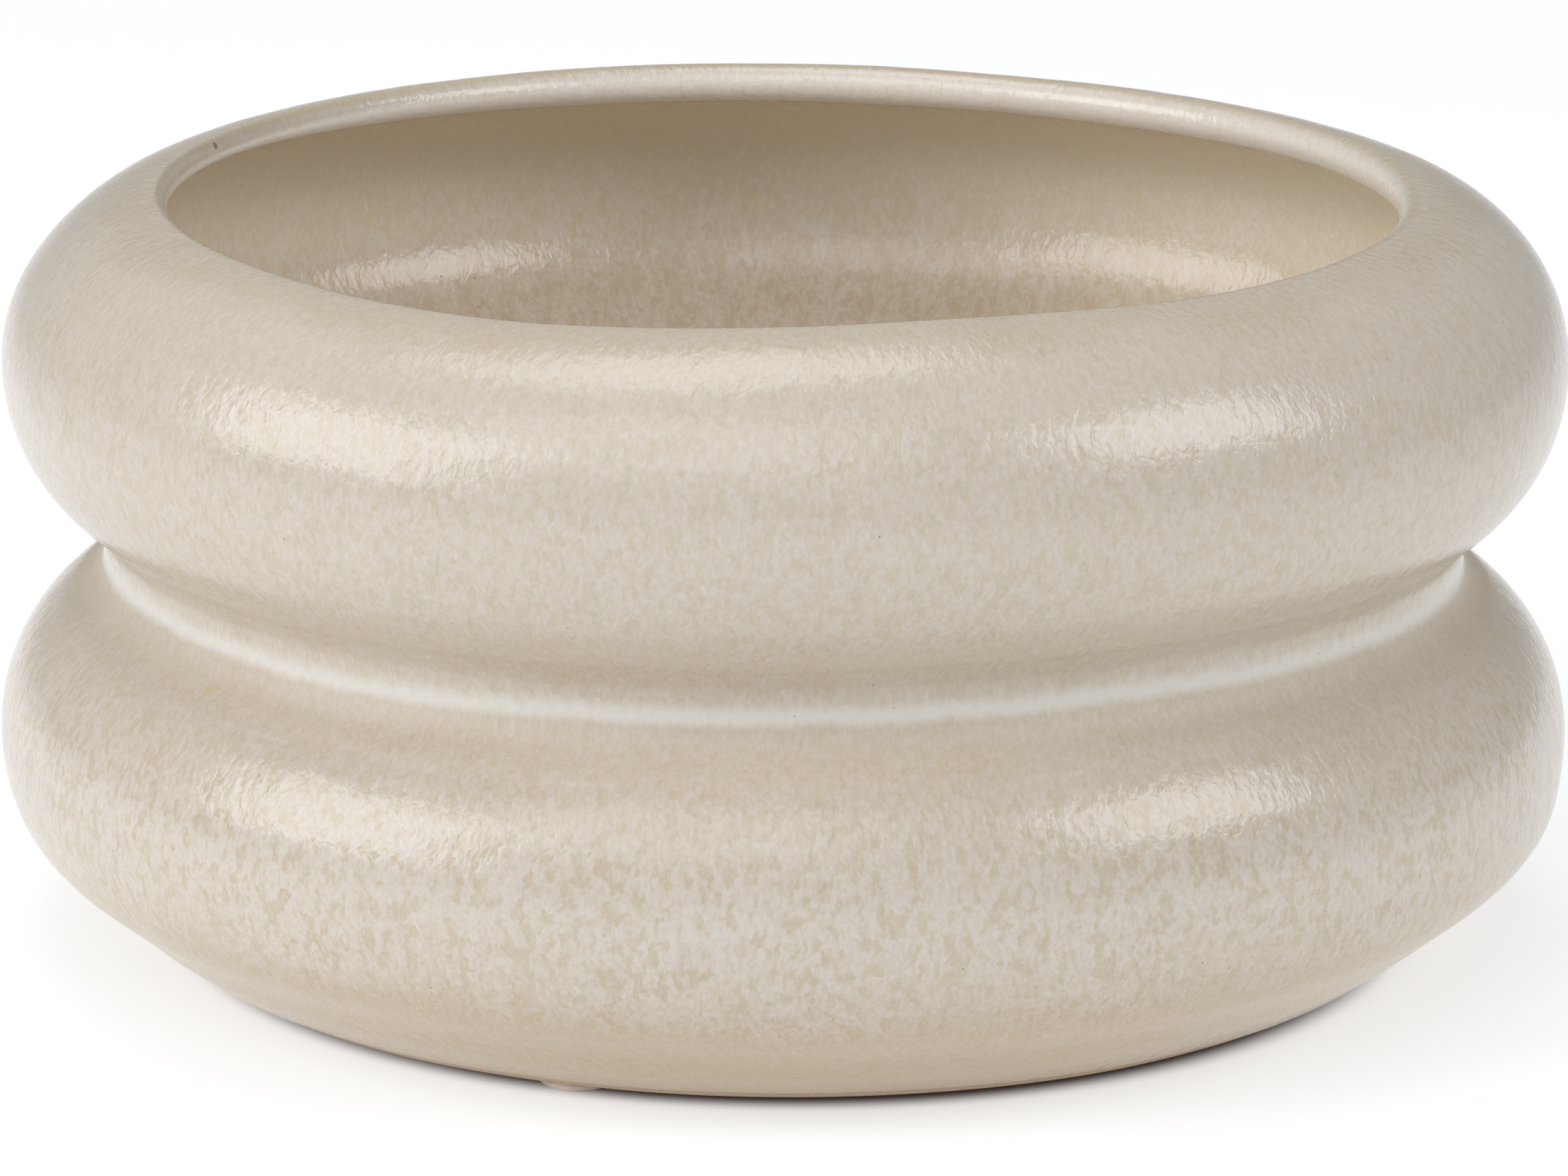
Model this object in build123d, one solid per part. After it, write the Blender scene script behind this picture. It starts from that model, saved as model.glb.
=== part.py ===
"""Double-ring bonsai pot: a hollow-walled stoneware vessel on three stick-on pads.

The pot is two rings stacked one on the other, slip-cast in one piece: the wall keeps one
thickness and follows the outside, so the groove between the rings shows inside as a ridge.
Millimetres. Z runs up the pot's axis, z = 0 is the table under the pads, and -Y is the front.
"""
import os
from math import acos, cos, degrees, hypot, radians, sin, sqrt

from build123d import *

# Stick-on pads
PAD_COUNT = 3
PAD_DIAMETER = 10.0
PAD_THICKNESS = 1.2
PAD_EDGE_ROUND = 0.7
PAD_INSET = 0.3  # from the foot's outer edge to the pad's
PAD_FIRST_ANGLE = 250.0  # degrees from +X: 20 degrees left of the front

# Lower ring: section circle, then a flatter belly down to the foot
LOWER_CENTRE_R = 80.2
LOWER_CENTRE_Z = 27.5  # heights are above the foot's face
LOWER_SECTION_R = 22.2
BELLY_START_ANGLE = -48.0
FOOT_OUTER_R = 79.3

# Upper ring and its folded lip
UPPER_CENTRE_R = 79.7
UPPER_CENTRE_Z = 76.0
UPPER_SECTION_R = 21.9
LIP_ANGLE = 84.0  # where the ring's section ends, just outside its highest point

# Groove between the rings
GROOVE_FILLET = 6.5

# Wall, floor and foot
WALL = 5.2
FLOOR_TOP = 8.0
FOOT_RECESS = 2.0
FOOT_RING_WIDTH = 12.0
FOOT_EDGE_ROUND = 0.8
RECESS_ROUND = 1.2
FLOOR_CORNER_ROUND = 6.0
DRAIN_R = 10.0
DRAIN_TOP_ROUND = 1.0
DRAIN_BOTTOM_ROUND = 0.6


def polar(centre, radius, angle):
    """Point on a section circle, with the angle in degrees up from the outward direction."""
    return (centre[0] + radius * cos(radians(angle)), centre[1] + radius * sin(radians(angle)))


def angle_of(centre, point):
    """Angle in degrees of a point seen from a section circle's centre."""
    dr, dz = point[0] - centre[0], point[1] - centre[1]
    angle = degrees(acos(dr / hypot(dr, dz)))
    return angle if dz >= 0 else -angle


def arc(centre, radius, start, end):
    """Section arc between two angles."""
    middle = (start + end) / 2
    return ThreePointArc(
        polar(centre, radius, start), polar(centre, radius, middle), polar(centre, radius, end)
    )


def outer_crossing(c1, r1, c2, r2):
    """Where two circles cross, on the side away from the pot's axis."""
    dr, dz = c2[0] - c1[0], c2[1] - c1[1]
    gap = hypot(dr, dz)
    along = (r1 * r1 - r2 * r2 + gap * gap) / (2 * gap)
    off = sqrt(r1 * r1 - along * along)
    foot = (c1[0] + along * dr / gap, c1[1] + along * dz / gap)
    side = 1 if dz > 0 else -1
    return (foot[0] + side * off * dz / gap, foot[1] - side * off * dr / gap)


# Centres of the section's four arcs
lower = (LOWER_CENTRE_R, LOWER_CENTRE_Z)
upper = (UPPER_CENTRE_R, UPPER_CENTRE_Z)
groove = outer_crossing(
    lower, LOWER_SECTION_R + GROOVE_FILLET, upper, UPPER_SECTION_R + GROOVE_FILLET
)
lower_top = angle_of(lower, groove)
upper_bottom = angle_of(upper, groove)

# The belly's arc leaves the lower ring's circle smoothly and ends on the foot's edge
edge_r, edge_z = FOOT_OUTER_R - lower[0], -lower[1]
along_normal = edge_r * cos(radians(BELLY_START_ANGLE)) + edge_z * sin(radians(BELLY_START_ANGLE))
reach = hypot(edge_r, edge_z)
belly_r = reach**2 - 2 * LOWER_SECTION_R * along_normal + LOWER_SECTION_R**2
belly_r /= 2 * (LOWER_SECTION_R - along_normal)
belly = polar(lower, LOWER_SECTION_R - belly_r, BELLY_START_ANGLE)
belly_end = angle_of(belly, (FOOT_OUTER_R, 0))

# Where the inside face of the belly meets the floor
inner_belly_r = belly_r - WALL
floor_r = belly[0] + sqrt(inner_belly_r**2 - (FLOOR_TOP - belly[1]) ** 2)
floor_angle = angle_of(belly, (floor_r, FLOOR_TOP))

foot_inner_r = FOOT_OUTER_R - FOOT_RING_WIDTH
foot_edge = (FOOT_OUTER_R, 0)
recess_corner = (foot_inner_r, FOOT_RECESS)
drain_top = (DRAIN_R, FLOOR_TOP)
drain_bottom = (DRAIN_R, FOOT_RECESS)
floor_corner = (floor_r, FLOOR_TOP)

outside = [
    arc(belly, belly_r, belly_end, BELLY_START_ANGLE),
    arc(lower, LOWER_SECTION_R, BELLY_START_ANGLE, lower_top),
    arc(groove, GROOVE_FILLET, lower_top + 180, upper_bottom + 180),
    arc(upper, UPPER_SECTION_R, upper_bottom, LIP_ANGLE),
]
lip = [arc(polar(upper, UPPER_SECTION_R - WALL / 2, LIP_ANGLE), WALL / 2, LIP_ANGLE, LIP_ANGLE + 180)]
inside = [
    arc(upper, UPPER_SECTION_R - WALL, LIP_ANGLE, upper_bottom),
    arc(groove, GROOVE_FILLET + WALL, upper_bottom + 180, lower_top + 180),
    arc(lower, LOWER_SECTION_R - WALL, lower_top, BELLY_START_ANGLE),
    arc(belly, inner_belly_r, BELLY_START_ANGLE, floor_angle),
]
base = [
    Polyline(floor_corner, drain_top, drain_bottom, recess_corner, (foot_inner_r, 0), foot_edge)
]

section = make_face(Curve() + outside + lip + inside + base)
for corner, radius in (
    (foot_edge, FOOT_EDGE_ROUND),
    (recess_corner, RECESS_ROUND),
    (floor_corner, FLOOR_CORNER_ROUND),
    (drain_top, DRAIN_TOP_ROUND),
    (drain_bottom, DRAIN_BOTTOM_ROUND),
):
    nearest = section.vertices().sort_by_distance(Vector(*corner))[0]
    section = fillet(nearest, radius)

pot_body = revolve(Plane.XZ * section, axis=Axis.Z)
pot_body = Pos(0, 0, PAD_THICKNESS) * pot_body

# One pad: flat where it sticks to the foot, rounded where it meets the table
pad = Cylinder(
    PAD_DIAMETER / 2, PAD_THICKNESS, align=(Align.CENTER, Align.CENTER, Align.MIN)
)
pad = fillet(pad.edges().group_by(Axis.Z)[0], PAD_EDGE_ROUND)
pad_circle_r = FOOT_OUTER_R - PAD_INSET - PAD_DIAMETER / 2
pads = [
    Rot(0, 0, PAD_FIRST_ANGLE + step * 360 / PAD_COUNT) * Pos(pad_circle_r, 0, 0) * pad
    for step in range(PAD_COUNT)
]

os.makedirs("parts", exist_ok=True)
export_step(pot_body, "parts/pot_body.step")
for number, shape in enumerate(pads, start=1):
    export_step(shape, f"parts/foot_pad_{number}.step")
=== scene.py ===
"""Double-ring bonsai pot: the glazed body, its foot pads, a pale floor and soft studio light.

Metres, +Z up, -Y is the front. Section sizes are written in millimetres and scaled by MM.
"""
from math import acos, atan2, cos, degrees, hypot, pi, radians, sin, sqrt, tan

import bpy
import numpy as np
from mathutils import Matrix, Vector, noise


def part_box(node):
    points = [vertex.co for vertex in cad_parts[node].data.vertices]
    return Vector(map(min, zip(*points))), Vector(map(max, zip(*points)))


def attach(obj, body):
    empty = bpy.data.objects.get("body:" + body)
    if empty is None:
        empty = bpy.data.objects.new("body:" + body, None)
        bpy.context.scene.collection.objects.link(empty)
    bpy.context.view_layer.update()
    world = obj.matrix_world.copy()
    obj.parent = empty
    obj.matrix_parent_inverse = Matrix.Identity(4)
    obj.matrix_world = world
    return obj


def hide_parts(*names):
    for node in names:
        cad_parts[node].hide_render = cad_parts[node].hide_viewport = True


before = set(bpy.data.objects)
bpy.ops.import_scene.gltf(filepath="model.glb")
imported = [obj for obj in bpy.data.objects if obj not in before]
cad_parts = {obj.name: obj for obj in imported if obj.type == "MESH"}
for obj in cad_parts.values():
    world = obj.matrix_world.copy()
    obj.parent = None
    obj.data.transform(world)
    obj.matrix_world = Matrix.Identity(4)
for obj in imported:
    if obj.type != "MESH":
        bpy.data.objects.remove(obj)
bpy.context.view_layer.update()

MM = 0.001

# ---------------------------------------------------------------- section of the body
PAD_THICKNESS = 1.2
PAD_DIAMETER = 10.0
PAD_COUNT = 3
LOWER = (80.2, 27.5, 22.2)  # centre radius, centre height above the foot, section radius
UPPER = (79.7, 76.0, 21.9)
BELLY_START = -48.0
FOOT_OUTER_R = 79.3
LIP_ANGLE = 84.0
GROOVE_FILLET = 6.5
WALL = 5.2
FLOOR_TOP = 8.0
FOOT_RECESS = 2.0
FOOT_INNER_R = 67.3
DRAIN_R = 10.0


def arc(centre, radius, start, end, step):
    """Points along a section arc, with angles in degrees up from the outward direction."""
    count = max(3, int(abs(radians(end - start)) * radius / step) + 1)
    angles = np.radians(np.linspace(start, end, count))
    return np.stack([centre[0] + radius * np.cos(angles), centre[1] + radius * np.sin(angles)], 1)


def line(a, b, step):
    """Points along a straight stretch of the section."""
    count = max(3, int(hypot(b[0] - a[0], b[1] - a[1]) / step) + 1)
    return np.linspace(a, b, count)


def angle_of(centre, point):
    """Degrees up from the outward direction."""
    return degrees(atan2(point[1] - centre[1], point[0] - centre[0]))


def corner(a, point, b, radius, count=5):
    """Points round a section corner between two straight or nearly straight sides."""
    point = np.array(point)
    to_a = np.array(a) - point
    to_b = np.array(b) - point
    to_a /= np.linalg.norm(to_a)
    to_b /= np.linalg.norm(to_b)
    half = acos(float(to_a @ to_b)) / 2
    reach = radius / tan(half)
    middle = point + (to_a + to_b) / np.linalg.norm(to_a + to_b) * radius / sin(half)
    first, last = point + to_a * reach, point + to_b * reach
    start, end = (atan2(*(p - middle)[::-1]) for p in (first, last))
    turn = (end - start + pi) % (2 * pi) - pi
    angles = start + turn * np.linspace(0, 1, count)
    return middle + radius * np.stack([np.cos(angles), np.sin(angles)], 1)


def tangent_circle(a, b, radius):
    """Centre of the fillet that touches two section circles from outside the body."""
    ra, rb = a[2] + radius, b[2] + radius
    gap = np.array(b[:2]) - np.array(a[:2])
    reach = np.linalg.norm(gap)
    along = (ra**2 - rb**2 + reach**2) / (2 * reach)
    off = sqrt(ra**2 - along**2)
    unit = gap / reach
    return np.array(a[:2]) + unit * along + np.array([unit[1], -unit[0]]) * off


groove = tangent_circle(LOWER, UPPER, GROOVE_FILLET)
lower_top = angle_of(LOWER, groove)
upper_bottom = angle_of(UPPER, groove)
edge = np.array([FOOT_OUTER_R - LOWER[0], -LOWER[1]])
leave = np.array([cos(radians(BELLY_START)), sin(radians(BELLY_START))])
# The flatter belly leaves the lower ring smoothly and passes through the foot's outer edge
along_leave = edge @ leave
belly_r = (edge @ edge - 2 * LOWER[2] * along_leave + LOWER[2] ** 2) / (2 * (LOWER[2] - along_leave))
belly = np.array(LOWER[:2]) + leave * (LOWER[2] - belly_r)
belly_end = angle_of(belly, (FOOT_OUTER_R, 0))
inner_belly_r = belly_r - WALL
floor_r = belly[0] + sqrt(inner_belly_r**2 - (FLOOR_TOP - belly[1]) ** 2)
floor_angle = angle_of(belly, (floor_r, FLOOR_TOP))
lip_centre = np.array(UPPER[:2]) + (UPPER[2] - WALL / 2) * np.array(
    [cos(radians(LIP_ANGLE)), sin(radians(LIP_ANGLE))]
)

# The step between points along each stretch, and the rounds at the corners of the foot and floor
OUT_STEP, IN_STEP, FLAT_STEP = 1.05, 1.6, 4.0
LIP_STEP, GROOVE_STEP, INNER_GROOVE_STEP, FOOT_STEP = 0.6, 0.5, 1.2, 1.5
FOOT_ROUND, FOOT_INNER_ROUND, RECESS_ROUND = 0.8, 0.4, 1.2
DRAIN_LOWER_ROUND, DRAIN_UPPER_ROUND, FLOOR_ROUND = 0.6, 1.0, 6.0

# Straight stretches and arcs stop a little short of the round that follows them
outside = [
    arc(lip_centre, WALL / 2, 90, LIP_ANGLE, LIP_STEP),
    arc(UPPER, UPPER[2], LIP_ANGLE, upper_bottom, OUT_STEP),
    arc(groove, GROOVE_FILLET, upper_bottom + 180, lower_top + 180, GROOVE_STEP),
    arc(LOWER, LOWER[2], lower_top, BELLY_START, OUT_STEP),
    arc(belly, belly_r, BELLY_START, belly_end + 1.2, OUT_STEP),
]
below = [
    corner(outside[-1][-1], (FOOT_OUTER_R, 0), (FOOT_INNER_R, 0), FOOT_ROUND),
    line((FOOT_OUTER_R - 1.4, 0), (FOOT_INNER_R + 0.6, 0), FOOT_STEP),
    corner((FOOT_OUTER_R, 0), (FOOT_INNER_R, 0), (FOOT_INNER_R, FOOT_RECESS), FOOT_INNER_ROUND, 4),
    corner((FOOT_INNER_R, 0), (FOOT_INNER_R, FOOT_RECESS), (DRAIN_R, FOOT_RECESS), RECESS_ROUND, 6),
    line((FOOT_INNER_R - 2.5, FOOT_RECESS), (DRAIN_R + 1.0, FOOT_RECESS), FLAT_STEP),
    corner((FOOT_INNER_R, FOOT_RECESS), (DRAIN_R, FOOT_RECESS), (DRAIN_R, FLOOR_TOP), DRAIN_LOWER_ROUND, 4),
]
above = [
    corner((DRAIN_R, FOOT_RECESS), (DRAIN_R, FLOOR_TOP), (floor_r, FLOOR_TOP), DRAIN_UPPER_ROUND, 6),
    line((DRAIN_R + 2.0, FLOOR_TOP), (floor_r - 3.5, FLOOR_TOP), FLAT_STEP),
]
floor_edge = arc(belly, inner_belly_r, floor_angle + 2.2, BELLY_START, IN_STEP)
inside = [
    corner((DRAIN_R, FLOOR_TOP), (floor_r, FLOOR_TOP), floor_edge[0], FLOOR_ROUND, 6),
    floor_edge,
    arc(LOWER, LOWER[2] - WALL, BELLY_START, lower_top, IN_STEP),
    arc(groove, GROOVE_FILLET + WALL, lower_top + 180, upper_bottom + 180, INNER_GROOVE_STEP),
    arc(UPPER, UPPER[2] - WALL, upper_bottom, LIP_ANGLE, IN_STEP),
    arc(lip_centre, WALL / 2, LIP_ANGLE + 180, 90, LIP_STEP),
]


def joined(groups, closest=0.15):
    """One run of points, without the repeats where two stretches meet."""
    kept = []
    for point in np.concatenate(groups):
        if not kept or hypot(*(point - kept[-1])) > closest:
            kept.append(point)
    return np.array(kept)


def run_length(points):
    """How far along the run each point is."""
    return np.concatenate([[0], np.cumsum(np.hypot(*np.diff(points, axis=0).T))])


outer_run = joined(outside + below)
inner_run = joined(above + inside)[::-1]
OUTER_ROWS = len(joined(outside))
outer_flow = run_length(outer_run)
inner_flow = -run_length(inner_run)
# The loop goes down the outside, in under the foot, up through the drain hole and back up inside
loop = np.concatenate([outer_run, inner_run[::-1][:-1]])
flow = np.concatenate([outer_flow, inner_flow[::-1][:-1]])
ROWS = len(loop)
ahead, behind = np.roll(loop, -1, 0), np.roll(loop, 1, 0)
along = ahead - behind
along /= np.linalg.norm(along, axis=1)[:, None]
outward = np.stack([-along[:, 1], along[:, 0]], 1)

# ---------------------------------------------------------------- hand-made shape
TURNS = 420  # quads round the pot
RING_MIDDLE = 95.0  # mm, one radius for the pattern all the way down
angles = np.linspace(0, 2 * pi, TURNS, endpoint=False)


def wave(count, amount, phase):
    """A ripple round the pot: how many, how much in mm, and where it peaks in degrees."""
    return amount * np.cos(count * (angles - radians(phase)))


def bump_at(heights, middle, spread):
    """A smooth bump over heights, as a column."""
    return np.exp(-(((heights - middle) / spread) ** 2))[:, None]


def round_about(middle, spread):
    """A smooth bump round the pot, in degrees."""
    away = (np.degrees(angles) - middle + 180) % 360 - 180
    return np.exp(-((away / spread) ** 2))


height = loop[:, 1]
on_outside = (flow >= 0).astype(float)[:, None]
RIM_FROM, RIM_RUN = 60.0, 34.0  # the rim's bends grow from this height, over this run
rim_share = (np.clip((height - RIM_FROM) / RIM_RUN, 0, 1) ** 1.5)[:, None]
# The rim and the groove both sag at the front left and rise at the front right. The rim dips again
# at the back right, and the groove at both sides
rim_lift = 0.8 * round_about(285, 20) - 0.8 * round_about(240, 22) - 0.6 * round_about(60, 28)
groove_lift = 0.6 * round_about(295, 20) - 0.7 * round_about(230, 25)
groove_lift -= 1.0 * round_about(0, 24) + 0.7 * round_about(180, 22)
lift = rim_share * rim_lift + bump_at(height, 52.0, 13.0) * groove_lift
radial = (
    rim_share * (wave(2, 0.25, 30) + wave(3, 0.15, 140))
    - on_outside * bump_at(height, 92.0, 7.0) * 0.7 * round_about(172, 35)
    + on_outside * bump_at(height, 17.0, 5.0) * (0.55 + wave(1, 0.25, 0))
    - on_outside * bump_at(height, 8.5, 3.5) * (0.5 + wave(1, 0.15, 180))
)

radius = loop[:, 0][:, None] + radial
level = loop[:, 1][:, None] + lift + PAD_THICKNESS
points = np.stack([radius * np.cos(angles), radius * np.sin(angles), level], -1)
normal_r = outward[:, 0][:, None]
normal_z = np.repeat(outward[:, 1][:, None], TURNS, 1)
normal = np.stack([normal_r * np.cos(angles), normal_r * np.sin(angles), normal_z], -1)

# Glaze: thick in the groove, a soft roll above the foot, slow swells everywhere
GROOVE_BOTTOM_R = 89.2  # at the groove's height, only its bottom is inside this radius
GLAZE_STOP = 0.6  # the glaze ends this far above the foot
LIP_THIN, GROOVE_BEAD, FOOT_ROLL = 1.6, 0.18, 0.16
SLOW_SWELL, SLOW_SIZE = 0.11, 21.0
QUICK_SWELL, QUICK_SIZE = 0.035, 5.5
beyond = 10 * (outer_run[:, 0] > GROOVE_BOTTOM_R)
groove_flow = outer_flow[np.argmin(np.abs(outer_run[:, 1] - groove[1]) + beyond)]
foot_flow = outer_flow[OUTER_ROWS - 1]
GLAZE_END = foot_flow - GLAZE_STOP
bare = (flow > GLAZE_END) & (flow > 0)
relief = np.zeros((ROWS, TURNS))
# The lip was sponged thinner at the back left
lip_inside = np.where(flow < 0, np.exp(-(((np.minimum(flow, -6.0) + 6.0) / 16.0) ** 2)), 0.0)
lip_inside *= np.clip(-flow / 3.0, 0, 1)
relief -= lip_inside[:, None] * LIP_THIN * round_about(158, 32)
relief += GROOVE_BEAD * bump_at(flow, groove_flow, 2.0)
relief += FOOT_ROLL * bump_at(flow, GLAZE_END - 1.4, 1.0)
swell = np.zeros((ROWS, TURNS))
for i in range(ROWS):
    quick = 0.0 if bare[i] else QUICK_SWELL
    for j in range(TURNS):
        spot = Vector(points[i, j])
        swell[i, j] = SLOW_SWELL * noise.noise(spot / SLOW_SIZE) + quick * noise.noise(spot / QUICK_SIZE)
level_underside = (np.abs(outward[:, 1]) > 0.999) & (height < FLOOR_TOP + 1) & (flow > 0)
swell[level_underside] *= 0.25
relief += swell
points += normal * relief[..., None]
points[..., 2] = np.maximum(points[..., 2], PAD_THICKNESS)

# The pattern's radius is one size on the walls, and shrinks toward the axis on the flat faces
on_floor = (flow < 0) & (height < FLOOR_TOP + 0.3)
under_foot = flow > foot_flow
pattern_r = RING_MIDDLE * np.ones(ROWS)
pattern_r[on_floor] *= np.minimum(1, loop[on_floor, 0] / floor_r)
pattern_r[under_foot] *= np.minimum(1, loop[under_foot, 0] / FOOT_OUTER_R)


def grid_piece(name, points, pattern_radius, flow_values):
    """A closed ring-shaped mesh from a rows by turns grid, with the glaze's flow on each point."""
    rows, turns = points.shape[:2]
    i, j = np.meshgrid(np.arange(rows), np.arange(turns), indexing="ij")
    a = i * turns + j
    b = ((i + 1) % rows) * turns + j
    c = ((i + 1) % rows) * turns + (j + 1) % turns
    d = i * turns + (j + 1) % turns
    faces = np.stack([a, b, c, d], -1).reshape(-1, 4)
    mesh = bpy.data.meshes.new(name)
    mesh.from_pydata((points.reshape(-1, 3) * MM).tolist(), [], faces.tolist())
    mesh.validate()
    attribute = mesh.attributes.new("flow", "FLOAT_VECTOR", "POINT")
    vectors = np.stack(
        [
            pattern_radius[:, None] * np.cos(angles),
            pattern_radius[:, None] * np.sin(angles),
            np.repeat(flow_values[:, None], turns, 1),
        ],
        -1,
    )
    attribute.data.foreach_set("vector", vectors.astype(np.float32).ravel())
    mesh.polygons.foreach_set("use_smooth", [True] * len(mesh.polygons))
    piece = bpy.data.objects.new(name, mesh)
    bpy.context.scene.collection.objects.link(piece)
    return piece


body = grid_piece("pot_glazed_body", points, pattern_r, flow)


def lay_out(piece, rows, turns):
    """The body's own unwrapping: two halves of the outside, the inside, and two discs."""
    outer_height, inner_height, disc = 0.262, 0.165, 0.272
    width, gap = 0.99, 0.006
    disc_edge_r = 84.0  # the largest radius that a disc has room for, in mm
    inside_base = 2 * (outer_height + gap)
    disc_middle = inside_base + inner_height + gap + disc / 2
    under_disc, floor_disc = disc / 2, disc * 1.5 + gap
    floor_start = float(-inner_flow[-1] - (floor_r - DRAIN_R) + 1)
    last_under = len(outer_run) - 1
    turn = np.arange(turns)
    half = turns // 2
    uv = np.zeros((rows, turns, 4, 2))

    def strip(row, u0, u1, v0, v1):
        for n, (u, v) in enumerate(((u0, v0), (u0, v1), (u1, v1), (u1, v0))):
            uv[row, :, n] = np.stack([u, v + 0 * u], 1)

    def ring(row, middle, r0, r1):
        for n, (r, step) in enumerate(((r0, 0), (r1, 0), (r1, 1), (r0, 1))):
            a = 2 * pi * (turn + step) / turns
            out = r * disc / 2 / disc_edge_r
            uv[row, :, n] = np.stack([middle + out * np.cos(a), disc_middle + out * np.sin(a)], 1)

    for row in range(rows):
        following = (row + 1) % rows
        f0, f1 = flow[row], flow[following]
        if row < OUTER_ROWS - 1:
            side = (turn >= half) * (outer_height + gap)
            u0, u1 = (turn % half) / half * width, (turn % half + 1) / half * width
            strip(row, u0, u1, side + f0 / foot_flow * outer_height, side + f1 / foot_flow * outer_height)
        elif row > last_under and -f1 < floor_start:
            v0, v1 = -f0 / floor_start * inner_height, -f1 / floor_start * inner_height
            u0, u1 = turn / turns * width, (turn + 1) / turns * width
            strip(row, u0, u1, inside_base + v0, inside_base + v1)
        elif row == last_under:
            ring(row, floor_disc, DRAIN_R - 0.6, DRAIN_R)
        else:
            ring(row, under_disc if row < last_under else floor_disc, loop[row, 0], loop[following, 0])
    layer = piece.data.uv_layers.new(name="OFBake")
    layer.data.foreach_set("uv", uv.astype(np.float32).ravel())


lay_out(body, ROWS, TURNS)


# ---------------------------------------------------------------- node helpers
class Graph:
    """Short calls that add nodes to one material and wire them. Sockets go in and come out."""

    def __init__(self, name):
        self.material = bpy.data.materials.new(name)
        self.material.use_nodes = True
        self.tree = self.material.node_tree
        self.tree.nodes.clear()
        self.output = self.tree.nodes.new("ShaderNodeOutputMaterial")

    def add(self, kind, inputs=None, **settings):
        node = self.tree.nodes.new("ShaderNode" + kind)
        for key, value in settings.items():
            setattr(node, key, value)
        for key, value in (inputs or {}).items():
            self.put(node.inputs[key], value)
        return node

    def put(self, socket, value):
        if isinstance(value, bpy.types.NodeSocket):
            self.tree.links.new(value, socket)
        else:
            socket.default_value = value

    def math(self, operation, a, b=0.0, c=0.0, clamp=False):
        node = self.add("Math", {0: a, 1: b, 2: c}, operation=operation, use_clamp=clamp)
        return node.outputs[0]

    def vector(self, operation, a, b=(0, 0, 0)):
        node = self.add("VectorMath", {0: a}, operation=operation)
        if operation == "SCALE":
            self.put(node.inputs["Scale"], b)
        else:
            self.put(node.inputs[1], b)
        return node.outputs[0]

    def span(self, value, low, high, to_low=0.0, to_high=1.0, smooth=True):
        """How far the value is from low to high, held at the ends."""
        node = self.add(
            "MapRange",
            {"Value": value, "From Min": low, "From Max": high, "To Min": to_low, "To Max": to_high},
            interpolation_type="SMOOTHSTEP" if smooth else "LINEAR",
        )
        return node.outputs[0]

    def noise(self, at, scale, detail=2.0, rough=0.5):
        node = self.add("TexNoise", {"Vector": at, "Scale": scale, "Detail": detail, "Roughness": rough})
        return node.outputs[0]

    def blend(self, share, a, b):
        """Colour a where the share is 0, and colour b where it is 1."""
        node = self.add("Mix", data_type="RGBA")
        self.put(node.inputs["Factor"], share)
        self.put(node.inputs["A"], a)
        self.put(node.inputs["B"], b)
        return node.outputs["Result"]

    def shade(self, inputs):
        """Finish the material with one shader."""
        shader = self.add("BsdfPrincipled", inputs)
        self.tree.links.new(shader.outputs[0], self.output.inputs["Surface"])

    def curve(self, value, stops):
        """A value from a smooth run of (position, height) stops between 0 and 1."""
        node = self.add("ValToRGB", {"Fac": value})
        ramp = node.color_ramp
        ramp.interpolation = "EASE"
        for n, (position, level) in enumerate(stops):
            stop = ramp.elements[n] if n < 2 else ramp.elements.new(position)
            stop.position = position
            stop.color = (level, level, level, 1)
        return node.outputs["Color"]


def linear(red, green, blue):
    """An sRGB colour from 0 to 255 as linear light."""

    def one(level):
        level /= 255
        return level / 12.92 if level < 0.04045 else ((level + 0.055) / 1.055) ** 2.4

    return (one(red), one(green), one(blue), 1.0)


# ---------------------------------------------------------------- glaze
TAN = linear(194, 181, 158)
DEEP_TAN = linear(186, 170, 144)
PALE = linear(207, 199, 190)
# The inside's tan and pale are painted lighter than the outside's glaze: painted light on the inner walls.
# The two after them are darker: painted shade deep in the pot.
INNER_TAN_WITH_PAINTED_LIGHT = linear(236, 224, 201)
INNER_PALE_WITH_PAINTED_LIGHT = linear(243, 238, 230)
INNER_PAINTED_SHADE_TAN = linear(198, 180, 155)
INNER_PAINTED_SHADE_PALE = linear(214, 203, 189)
POOLED = linear(224, 221, 215)
# The foot's tan is the thinner glaze's own colour, darkened further as painted shade on the down-facing
# lower belly.
FOOT_TAN_AND_SHADE = linear(174, 153, 119)
CLAY = linear(178, 146, 122)
CLAY_PALE = linear(196, 170, 148)
BURNT = linear(120, 92, 62)
YELLOW_SPECK = linear(196, 182, 132)


# Where each look starts and stops down the section, in mm from the lip: plus outside, minus inside
# The foot's tan, with its painted shade, spreads over this run.
FOOT_TAN_AND_SHADE_FROM, FOOT_TAN_AND_SHADE_FULL = 93.0, 114.0
# The inside darkens over this depth: painted shade deep in the pot.
INNER_SHADE_FROM, INNER_SHADE_FULL = -28.0, -50.0
SHOULDER_LINE = 71.8
RECESS_REACH = 16.0  # bare clay goes this far in under the foot
COVER_LENGTH = 130.0  # the run of the outside that COVER and CONTRAST are spread over

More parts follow.
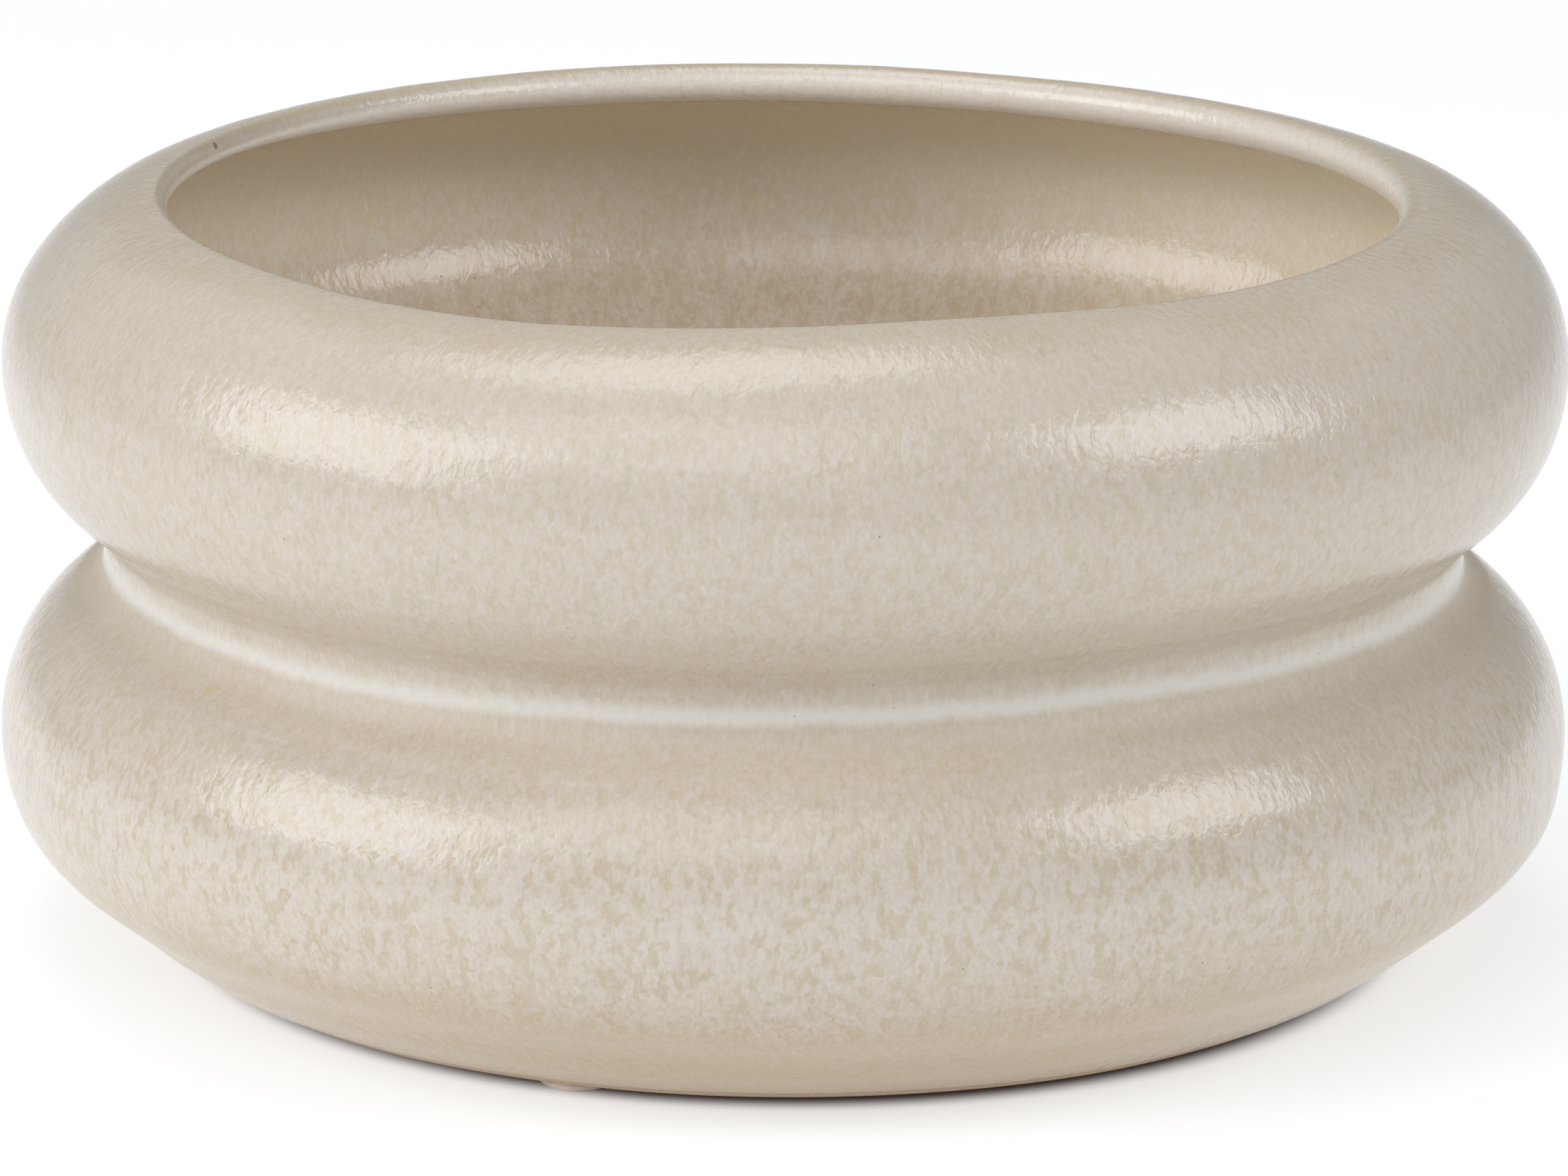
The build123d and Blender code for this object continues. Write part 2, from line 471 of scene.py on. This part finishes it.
# How white the glaze is and how strongly it breaks, from the lip (0) down to the underside (1)
COVER = [
    (0.0, 0.40), (1.0, 0.0), (0.035, 0.28), (0.09, 0.60), (0.19, 0.62), (0.28, 0.56), (0.36, 0.36),
    (0.42, 0.22), (0.47, 0.42), (0.54, 0.48), (0.61, 0.54), (0.68, 0.62), (0.75, 0.48), (0.82, 0.10),
]
CONTRAST = [
    (0.0, 0.15), (1.0, 0.05), (0.10, 0.20), (0.18, 0.38), (0.32, 0.42), (0.41, 0.18), (0.53, 0.20),
    (0.60, 0.55), (0.65, 0.88), (0.72, 0.82), (0.77, 0.45), (0.83, 0.10),
]
# Degrees round the pot, mm down the section, size in mm, colour
SPECKS = [(159.5, -1.4, 0.8, BURNT), (219.0, 68.0, 0.9, YELLOW_SPECK)]


class GlazeGraph(Graph):
    """The noises that the whole glaze shares, and the sockets that say where on the pot a point is."""

    def __init__(self, name):
        super().__init__(name)
        self.at = self.add("Attribute", attribute_name="flow").outputs["Vector"]
        self.down = self.add("SeparateXYZ", {0: self.at}).outputs["Z"]
        self.drift = self.noise(self.vector("SCALE", self.at, 1 / 13.0), 1.0, 2.0)
        close = self.vector("SCALE", self.at, 1 / 1.1)
        bends = self.add("TexNoise", {"Vector": close, "Scale": 1.0, "Detail": 1.0})
        bends = self.vector("SUBTRACT", bends.outputs["Color"], (0.5, 0.5, 0.5))
        self.bent = self.vector("ADD", self.at, self.vector("SCALE", bends, 0.9))
        # Cells, grain and patches are all drawn out downwards
        tall = self.vector("MULTIPLY", self.bent, (1.0, 1.0, 0.58))
        self.cells = self.noise(self.vector("SCALE", tall, 1 / 1.3), 1.0, 1.0, 0.40)
        self.fine = self.noise(self.vector("SCALE", tall, 1 / 0.55), 1.0, 2.0, 0.6)
        self.patch = self.noise(self.vector("SCALE", tall, 1 / 3.6), 1.0, 1.0, 0.5)
        self.place = self.math("MULTIPLY_ADD", self.drift, 10.0, self.math("SUBTRACT", self.down, 5.0))
        # Small tan cells stand apart in the whitish ground, and crowd where the patch is low
        crowding = self.math("MULTIPLY_ADD", self.math("SUBTRACT", self.patch, 0.5), -0.10, self.cells)
        self.edge = self.math("SUBTRACT", crowding, 0.53)
        self.net = self.span(self.edge, 0.085, -0.045)

    def flecks(self, patch_share, net_share):
        """Pale flecks made of so much patch and so much net."""
        patches = self.span(self.patch, 0.30, 0.70)
        return self.math("MULTIPLY_ADD", patches, patch_share, self.math("MULTIPLY", self.net, net_share))


def outer_white(g):
    """How white the outside is at each point."""
    outer = g.span(g.place, 0.0, COVER_LENGTH, smooth=False)
    contrast = g.curve(outer, CONTRAST)
    patchy = g.math("MULTIPLY", g.math("SUBTRACT", g.flecks(0.10, 0.62), 0.45), contrast)
    grain = g.math("MULTIPLY", g.math("SUBTRACT", g.fine, 0.5), g.math("MULTIPLY_ADD", contrast, 0.9, 1.3))
    grain = g.math("MULTIPLY", grain, g.span(g.down, 113.0, 97.0, 0.15, 1.0))
    return g.math("ADD", g.curve(outer, COVER), g.math("ADD", patchy, grain), clamp=True)


def inner_white(g):
    """How white the inside is: a band over the lip, then plain tan that mottles again lower down."""
    ragged = g.math("MULTIPLY_ADD", g.patch, 5.0, g.math("MULTIPLY", g.cells, 4.0))
    lip_depth = g.math("ADD", g.down, g.math("SUBTRACT", ragged, 4.5))
    lip_band = g.math("MULTIPLY", g.span(lip_depth, -12.5, -5.5), g.span(g.down, -0.6, -2.2))
    lip_band = g.math("MULTIPLY", lip_band, g.math("MULTIPLY_ADD", g.net, 0.3, 0.75))
    low_flecks = g.math("SUBTRACT", g.flecks(0.30, 0.40), 0.02)
    low_inside = g.math("MULTIPLY", g.span(g.place, -16.0, -44.0), low_flecks)
    grain = g.math("MULTIPLY", g.math("SUBTRACT", g.fine, 0.5), 2.0)
    return g.math("ADD", g.math("MAXIMUM", lip_band, low_inside), grain, clamp=True)


def pooled_line(g):
    """The pooled line in the groove, crisp below and feathered above: its core, and all of it."""
    wander = g.math("MULTIPLY_ADD", g.drift, 1.0, g.math("MULTIPLY_ADD", g.cells, 0.9, -0.95))
    teeth = g.noise(g.vector("MULTIPLY", g.bent, (1.0, 1.0, 0.30)), 1.0, 2.0, 0.6)
    depth = g.math("SUBTRACT", g.math("SUBTRACT", g.down, groove_flow + 0.6), wander)
    core = g.math("MULTIPLY", g.span(depth, -2.2, 0.2), g.span(depth, 2.0, 0.4))
    reach = g.math("MULTIPLY", g.span(teeth, 0.32, 0.70), 1.9)
    feather = g.math("MULTIPLY", g.span(g.math("ADD", depth, reach), -1.9, 1.2), g.span(depth, 1.9, 0.3))
    return core, g.math("MAXIMUM", g.math("MULTIPLY", core, 0.76), g.math("MULTIPLY", feather, 0.38))


def glaze_colour(g, pooled):
    """The glaze's colour before its pinholes and specks, with painted light and painted shade on the inside
    and painted shade low on the belly.
    """
    is_outside = g.span(g.down, -0.6, 0.6)
    whites = {"Factor": is_outside, "A": inner_white(g), "B": outer_white(g)}
    white = g.add("Mix", whites, data_type="FLOAT").outputs[0]
    # A thin line of thicker glaze on the lower ring's shoulder
    thin = g.math("ABSOLUTE", g.math("SUBTRACT", g.down, SHOULDER_LINE))
    thin = g.math("MULTIPLY", g.span(thin, 0.7, 0.0), g.span(g.drift, 0.44, 0.60))
    white = g.math("MULTIPLY_ADD", thin, 0.28, white, clamp=True)

    # Inside, the colours carry painted light on the walls, and painted shade that darkens them lower down.
    inside = g.span(g.down, -1.0, -4.0)
    painted_deep_shade = g.span(g.down, INNER_SHADE_FROM, INNER_SHADE_FULL)
    # The lower belly turns tan: the thinner glaze's own colour plus painted shade where the belly faces
    # down.
    low = g.math("MULTIPLY", g.span(g.down, FOOT_TAN_AND_SHADE_FROM, FOOT_TAN_AND_SHADE_FULL), 0.85)
    tan_glaze = g.blend(g.math("MULTIPLY", g.span(g.drift, 0.62, 0.35), 0.35), TAN, DEEP_TAN)
    tan_glaze = g.blend(inside, tan_glaze, g.blend(painted_deep_shade, INNER_TAN_WITH_PAINTED_LIGHT, INNER_PAINTED_SHADE_TAN))
    tan_glaze = g.blend(low, tan_glaze, FOOT_TAN_AND_SHADE)
    pale_glaze = g.blend(inside, PALE, g.blend(painted_deep_shade, INNER_PALE_WITH_PAINTED_LIGHT, INNER_PAINTED_SHADE_PALE))
    return g.blend(pooled, g.blend(white, tan_glaze, pale_glaze), POOLED)


def bare_foot(g):
    """Where the foot ring is left bare, and its clay: the glaze ends in a slightly ragged line."""
    bare_from = g.math("MULTIPLY_ADD", g.patch, 1.6, GLAZE_END - 0.8)
    bare_clay = g.span(g.math("SUBTRACT", g.down, bare_from), -0.12, 0.12)
    under_ring = g.span(g.down, foot_flow + RECESS_REACH + 0.4, foot_flow + RECESS_REACH - 0.6)
    grit = g.noise(g.vector("SCALE", g.at, 1 / 0.5), 1.0, 2.0, 0.7)
    clay = g.blend(g.span(grit, 0.35, 0.7), CLAY, CLAY_PALE)
    return g.math("MULTIPLY", bare_clay, under_ring), clay


def glaze_material():
    """A whitish glaze that breaks to tan, pools in the groove and stops above the bare foot."""
    g = GlazeGraph("reactive_glaze")
    core, pooled = pooled_line(g)
    colour = glaze_colour(g, pooled)

    # Pinholes, mostly in the pooled line
    pits = g.add("TexVoronoi", {"Vector": g.vector("SCALE", g.at, 1 / 9.0)}).outputs["Distance"]
    chosen = g.math("MAXIMUM", g.span(g.drift, 0.60, 0.66), g.math("MULTIPLY", core, 0.8))
    pinhole = g.math("MULTIPLY", g.span(pits, 0.066, 0.030), chosen)
    colour = g.blend(g.math("MULTIPLY", pinhole, 0.7), colour, BURNT)
    for turn, depth_down, size, tint in SPECKS:
        spot = (RING_MIDDLE * cos(radians(turn)), RING_MIDDLE * sin(radians(turn)), depth_down)
        apart = g.add("VectorMath", {0: g.bent, 1: spot}, operation="DISTANCE").outputs["Value"]
        colour = g.blend(g.math("MULTIPLY", g.span(apart, size, size * 0.4), 0.8), colour, tint)
    bare_clay, clay = bare_foot(g)
    colour = g.blend(bare_clay, colour, clay)

    # Thinner, drier glaze just below the pooled line, glossier in it, and dull bare clay
    dry = g.span(g.math("ABSOLUTE", g.math("SUBTRACT", g.down, groove_flow + 4.0)), 5.0, 2.5)
    gloss = g.math("MULTIPLY_ADD", dry, 0.36, g.math("MULTIPLY_ADD", g.fine, 0.12, 0.10))
    gloss = g.math("MULTIPLY_ADD", pooled, -0.05, gloss)
    rough = g.add("Mix", {"Factor": bare_clay, "A": gloss, "B": 0.82}, data_type="FLOAT").outputs[0]

    depth = g.math("MULTIPLY", g.fine, 0.060)
    for part, amount in ((g.edge, -0.12), (pinhole, -0.15), (bare_clay, -0.16)):
        depth = g.math("MULTIPLY_ADD", part, amount, depth)
    bump = g.add("Bump", {"Strength": 1.0, "Distance": MM, "Height": depth})
    g.shade({"Base Color": colour, "Roughness": rough, "IOR": 1.5, "Normal": bump.outputs[0]})
    return g.material


body.data.materials.append(glaze_material())
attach(body, "root")
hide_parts("pot_body")


# ---------------------------------------------------------------- foot pads
SILICONE = linear(206, 186, 174)
SILICONE_PALE = linear(222, 206, 196)
DUST = linear(240, 232, 224)
PAD_EDGE_GAP = 0.02  # how far the skirt stays inside the pad's full width
PAD_ROUND, PAD_SKIRT = 1.05, 0.86  # the rounded skirt's reach and height
PAD_DISH = 0.14  # how far the underside is dished
PAD_FLAT = 0.6  # the flat ring that it stands on
PAD_AXIS_R = 0.05
PAD_SEAM, PAD_SEAM_DEPTH = 1.01, 0.12  # the line between the bumper and its adhesive layer
PAD_TURNS = 72


def pad_material():
    """Cloudy translucent silicone with a little dust on it."""
    g = Graph("clear_silicone")
    at = g.add("TexCoord").outputs["Object"]
    cloud = g.noise(at, 420.0, 3.0, 0.6)
    dust = g.noise(at, 2600.0, 2.0, 0.6)
    colour = g.blend(g.span(cloud, 0.35, 0.65), SILICONE, SILICONE_PALE)
    colour = g.blend(g.math("MULTIPLY", g.span(dust, 0.58, 0.72), 0.4), colour, DUST)
    rough = g.math("MULTIPLY_ADD", dust, 0.25, 0.25)
    bump = g.add("Bump", {"Strength": 0.4, "Distance": 0.0001, "Height": dust})
    g.shade(
        {
            "Base Color": colour, "Roughness": rough, "IOR": 1.41, "Normal": bump.outputs[0],
            "Subsurface Weight": 0.5, "Subsurface Scale": 0.002, "Subsurface Radius": (1.0, 0.7, 0.5),
        }
    )
    return g.material


def pad_piece(number, material):
    """A moulded bumper: flat glued top, a thin adhesive layer, rounded skirt, dished underside."""
    low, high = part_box(f"foot_pad_{number}")
    centre = (np.array(low) + np.array(high)) / 2 / MM
    edge_r = PAD_DIAMETER / 2 - PAD_EDGE_GAP
    sole_r = edge_r - PAD_ROUND
    dish_r = np.linspace(PAD_AXIS_R, sole_r - PAD_FLAT, 5)
    dish = np.stack([dish_r, PAD_DISH * (1 - (dish_r / dish_r[-1]) ** 2)], 1)
    skirt_turn = np.linspace(0, pi / 2, 7)
    skirt = np.stack([sole_r + PAD_ROUND * np.sin(skirt_turn), PAD_SKIRT * (1 - np.cos(skirt_turn))], 1)
    seam_r = edge_r - PAD_SEAM_DEPTH
    seam = [(edge_r, PAD_SEAM - 0.05), (seam_r, PAD_SEAM - 0.02), (seam_r, PAD_SEAM + 0.02),
            (edge_r, PAD_SEAM + 0.05)]
    top = [(radius, PAD_THICKNESS) for radius in (edge_r, edge_r / 2, PAD_AXIS_R)]
    profile = np.concatenate([dish, skirt, seam, top])
    turns = PAD_TURNS
    ring = np.linspace(0, 2 * pi, turns, endpoint=False)
    vertices = [
        (centre[0] + a * cos(t), centre[1] + a * sin(t), b) for a, b in profile for t in ring
    ]
    faces = [
        (i * turns + j, i * turns + (j + 1) % turns, (i + 1) * turns + (j + 1) % turns, (i + 1) * turns + j)
        for i in range(len(profile) - 1)
        for j in range(turns)
    ]
    faces.append(tuple(range(turns))[::-1])
    last = (len(profile) - 1) * turns
    faces.append(tuple(last + j for j in range(turns)))
    mesh = bpy.data.meshes.new(f"pad_{number}_moulded")
    mesh.from_pydata([tuple(v * MM for v in p) for p in vertices], [], faces)
    mesh.polygons.foreach_set("use_smooth", [True] * len(mesh.polygons))
    piece = bpy.data.objects.new(f"pad_{number}_moulded", mesh)
    bpy.context.scene.collection.objects.link(piece)
    piece.data.materials.append(material)
    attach(piece, "root")
    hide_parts(f"foot_pad_{number}")


silicone = pad_material()
for number in range(1, PAD_COUNT + 1):
    pad_piece(number, silicone)


# ---------------------------------------------------------------- floor and studio
SIDE = 6.0  # half the floor's width
# The floor's shadow is painted: its glow is cut under and just round the foot.
SHADOW_MIDDLE = (0.001, 0.0, 0.0)  # the soft shadow lies a little to the right
GLOW, GLOW_FROM, GLOW_FULL = 0.58, 0.0758, 0.0818
FADE_FROM, FADE_FULL, FADED = 0.19, 0.48, 0.35  # the glow is weaker to both sides, out of the picture
LAMP_TARGET = Vector((0, 0, 0.05))
ROOM, ROOM_SIDES = 0.31, 0.07  # how bright the room is, and how bright straight to the sides


def floor_material():
    """A white sweep that glows softly as if lit from all round, except under the pot, where the missing
    glow is a painted shadow.
    """
    g = Graph("lit_white_sweep")
    at = g.add("TexCoord").outputs["Object"]
    mist = g.noise(at, 3.0, 2.0)
    colour = g.blend(mist, (0.54, 0.55, 0.57, 1), (0.57, 0.58, 0.60, 1))
    away = g.add("VectorMath", {0: at, 1: SHADOW_MIDDLE}, operation="DISTANCE").outputs["Value"]
    # Painted shadow: the glow is cut under and just round the foot.
    glow = g.math("MULTIPLY", g.span(away, GLOW_FROM, GLOW_FULL), GLOW)
    sideways = g.math("ABSOLUTE", g.add("SeparateXYZ", {0: at}).outputs["X"])
    glow = g.math("MULTIPLY", glow, g.span(sideways, FADE_FROM, FADE_FULL, 1.0, FADED))
    g.shade(
        {
            "Base Color": colour, "Roughness": 0.85, "Specular IOR Level": 0.1,
            "Emission Color": (0.97, 0.985, 1.0, 1), "Emission Strength": glow,
        }
    )
    return g.material


floor_mesh = bpy.data.meshes.new("studio_floor")
corners = [(-SIDE, -SIDE, 0), (SIDE, -SIDE, 0), (SIDE, SIDE, 0), (-SIDE, SIDE, 0)]
floor_mesh.from_pydata(corners, [], [(0, 1, 2, 3)])
floor = bpy.data.objects.new("studio_floor", floor_mesh)
bpy.context.scene.collection.objects.link(floor)
floor.data.materials.append(floor_material())


def softbox(name, azimuth, elevation, distance, width, height, power):
    """A rectangular light aimed at the pot. Azimuth is from the camera's side, plus to the right."""
    light = bpy.data.lights.new(name, "AREA")
    light.shape = "RECTANGLE"
    light.size, light.size_y = width, height
    light.energy = power
    lamp = bpy.data.objects.new(name, light)
    a, e = radians(azimuth), radians(elevation)
    lamp.location = LAMP_TARGET + distance * Vector((sin(a) * cos(e), -cos(a) * cos(e), sin(e)))
    lamp.rotation_euler = (LAMP_TARGET - lamp.location).to_track_quat("-Z", "Y").to_euler()
    bpy.context.scene.collection.objects.link(lamp)


softbox("left_softbox", -69, 26, 1.6, 1.16, 0.90, 13.0)
softbox("right_softbox", 66, 34, 1.6, 0.95, 0.66, 8.4)
softbox("front_fill", -20, 46, 2.5, 2.3, 1.5, 14.5)
softbox("overhead", 211, 77, 1.55, 0.85, 0.80, 5.0)


def studio_world():
    """An even white room that is darker to both sides."""
    world = bpy.data.worlds.new("studio")
    world.use_nodes = True
    sky = world.node_tree
    background = sky.nodes["Background"]
    background.inputs["Color"].default_value = (1, 1, 1, 1)
    toward = sky.nodes.new("ShaderNodeSeparateXYZ")
    sideways = sky.nodes.new("ShaderNodeMath")
    sideways.operation = "ABSOLUTE"
    dimmer = sky.nodes.new("ShaderNodeMapRange")
    for socket, value in (("From Min", 0.45), ("From Max", 1.0), ("To Min", ROOM), ("To Max", ROOM_SIDES)):
        dimmer.inputs[socket].default_value = value
    sky.links.new(sky.nodes.new("ShaderNodeTexCoord").outputs["Generated"], toward.inputs[0])
    sky.links.new(toward.outputs["X"], sideways.inputs[0])
    sky.links.new(sideways.outputs[0], dimmer.inputs["Value"])
    sky.links.new(dimmer.outputs[0], background.inputs["Strength"])
    return world


bpy.context.scene.world = studio_world()
bpy.context.scene.view_settings.view_transform = "Standard"

# ---------------------------------------------------------------- camera
CAMERA_ELEVATION = 14.7
CAMERA_DISTANCE = 1.118
CAMERA_ROLL = 0.33
LENS = 196.0
SHIFT_UP = -0.013  # only as much as the photo's framing needs
AIM = Vector((0, 0, 0.048))
camera_data = bpy.data.cameras.new("camera")
camera_data.lens = LENS
camera_data.sensor_width = 36.0
camera_data.shift_y = SHIFT_UP
camera_data.clip_end = 50
camera = bpy.data.objects.new("camera", camera_data)
elevation = radians(CAMERA_ELEVATION)
camera.location = AIM + CAMERA_DISTANCE * Vector((0, -cos(elevation), sin(elevation)))
facing = (AIM - camera.location).to_track_quat("-Z", "Y").to_matrix()
camera.rotation_euler = (facing @ Matrix.Rotation(radians(CAMERA_ROLL), 3, "Z")).to_euler()
bpy.context.scene.collection.objects.link(camera)
bpy.context.scene.camera = camera
